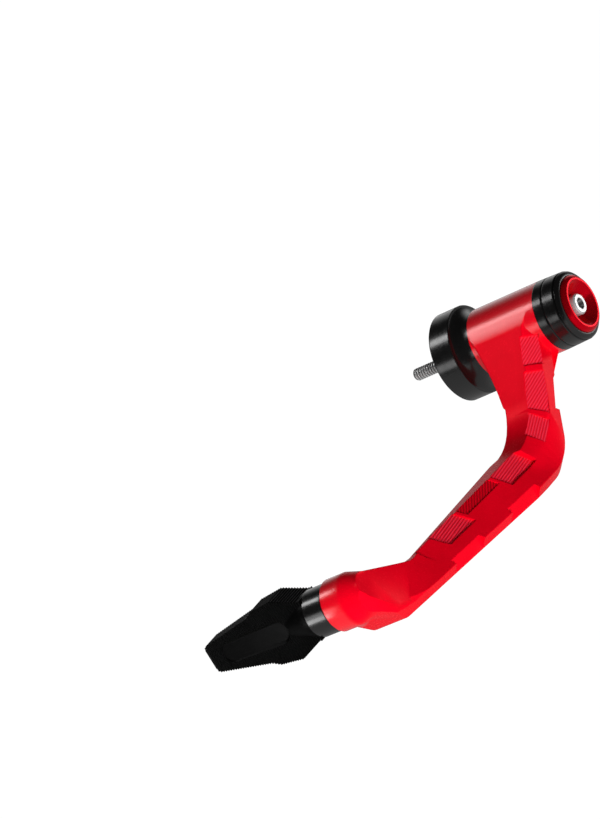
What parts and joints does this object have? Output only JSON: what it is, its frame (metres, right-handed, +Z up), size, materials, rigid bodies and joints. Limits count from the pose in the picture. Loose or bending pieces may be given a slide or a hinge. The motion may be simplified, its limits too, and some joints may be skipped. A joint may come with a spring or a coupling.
{
  "type": "brake lever guard",
  "caption": "Bar-end brake lever guard: a bent, faceted arm on a round boss with spacer, cap and through screw, and a ribbed paddle tip that shields the lever's end.",
  "frame": {"origin": "centre of the spacer's rear face, on the screw axis, where the guard seats on the handlebar end", "axes": "+X along the boss axis towards the outboard cap, the arm reaches towards -Y ahead of the bar, +Z up"},
  "size_m": [0.1396, 0.226, 0.0671],
  "materials": {
    "red_anodised": "gloss anodised",
    "red_insert": "gloss anodised",
    "black_anodised": "satin anodised",
    "screw_steel": "bright plated",
    "tip_plastic": "ribbed matt"
  },
  "bodies": {
    "root": {"guard_arm": "red_anodised", "bar_end_spacer": "black_anodised", "end_cap": "black_anodised", "cap_insert": "red_insert", "clamp_screw": "screw_steel", "tip_collar": "black_anodised", "guard_tip": "tip_plastic", "tip_stud": "screw_steel"}
  },
  "joints": []
}
